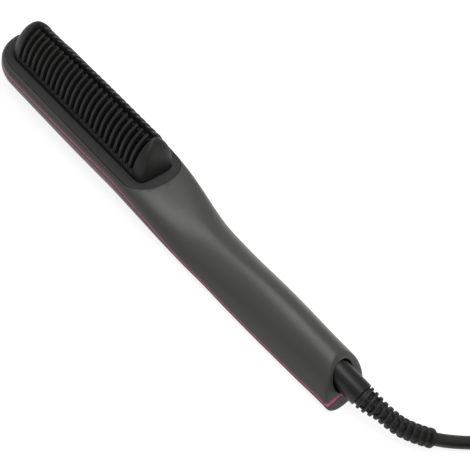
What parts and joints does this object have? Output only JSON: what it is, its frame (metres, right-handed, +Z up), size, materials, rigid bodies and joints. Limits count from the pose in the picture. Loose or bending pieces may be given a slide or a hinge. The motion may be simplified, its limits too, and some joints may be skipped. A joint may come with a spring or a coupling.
{
  "type": "heated straightening comb",
  "caption": "Heated straightening comb with a ribbed guard over a long head, an oval bezel, a waisted handle with a trim line, and a swivel cord.",
  "frame": {"origin": "centre of the box around the comb without its cord, on the resting face", "axes": "+X from the head to the cord end, +Z up from the resting face through the comb teeth, +Y to the left seen from the head"},
  "size_m": [0.4532, 0.0966, 0.044],
  "materials": {
    "shell": "satin",
    "trim": "satin",
    "bezel": "matte",
    "guard": "satin",
    "heated_metal": "black coated",
    "dark_plastic": "matte",
    "ceramic": "matte",
    "mica": "satin",
    "steel": "satin",
    "component_dark": "matte",
    "board": "satin",
    "clear_plastic": "clear",
    "button": "satin",
    "film_yellow": "gloss",
    "wire_brown": "matte",
    "wire_white": "matte",
    "brass": "satin",
    "swivel_black": "satin",
    "cord_black": "matte",
    "plug_black": "satin",
    "pin_metal": "polished"
  },
  "bodies": {
    "housing": {"upper_shell": "shell", "lower_shell": "shell", "trim_strip": "trim", "bezel_plate": "bezel", "comb_guard": "guard", "heating_comb": "heated_metal", "heater_tray": "dark_plastic", "ceramic_heater": "ceramic", "mica_sheet": "mica", "spring_clip": "steel", "thermistor": "component_dark", "thermal_fuse": "steel", "tray_screws": "steel", "head_screws": "steel", "shell_screws": "steel", "circuit_board": "board", "board_screws": "steel", "tact_switches": "component_dark", "status_leds": "ceramic", "light_pipe": "clear_plastic", "film_capacitor": "film_yellow", "electrolytic_capacitor": "component_dark", "triac": "component_dark", "terminal_block": "board", "mains_wires": "wire_brown", "heater_wires": "wire_white", "sensor_wires": "wire_white", "swivel_socket": "dark_plastic", "brush_block": "ceramic", "contact_brushes": "brass"},
    "cord_swivel": {"swivel_barrel": "swivel_black", "slip_rings": "brass", "strain_relief": "cord_black", "cord_lead": "cord_black", "cord_coil": "cord_black", "cord_tail": "cord_black", "coil_tie": "cord_black", "plug_body": "plug_black", "plug_pins": "pin_metal"},
    "power_button": {"power_button": "button"},
    "temp_up_button": {"temp_up_button": "button"},
    "temp_down_button": {"temp_down_button": "button"}
  },
  "joints": [
    {"name": "cord_swivel_turn", "type": "hinge", "parent": "housing", "child": "cord_swivel", "pos_m": [0.1113, 0, 0.0138], "axis": [1, 0, 0], "continuous": true},
    {"name": "power_button_press", "type": "slide", "parent": "housing", "child": "power_button", "axis": [0, 0, 1], "range_m": [0, 0.0005], "stiffness_N_per_m": 250},
    {"name": "temp_up_button_press", "type": "slide", "parent": "housing", "child": "temp_up_button", "axis": [0, 0, 1], "range_m": [0, 0.0005], "stiffness_N_per_m": 250},
    {"name": "temp_down_button_press", "type": "slide", "parent": "housing", "child": "temp_down_button", "axis": [0, 0, 1], "range_m": [0, 0.0005], "stiffness_N_per_m": 250}
  ]
}
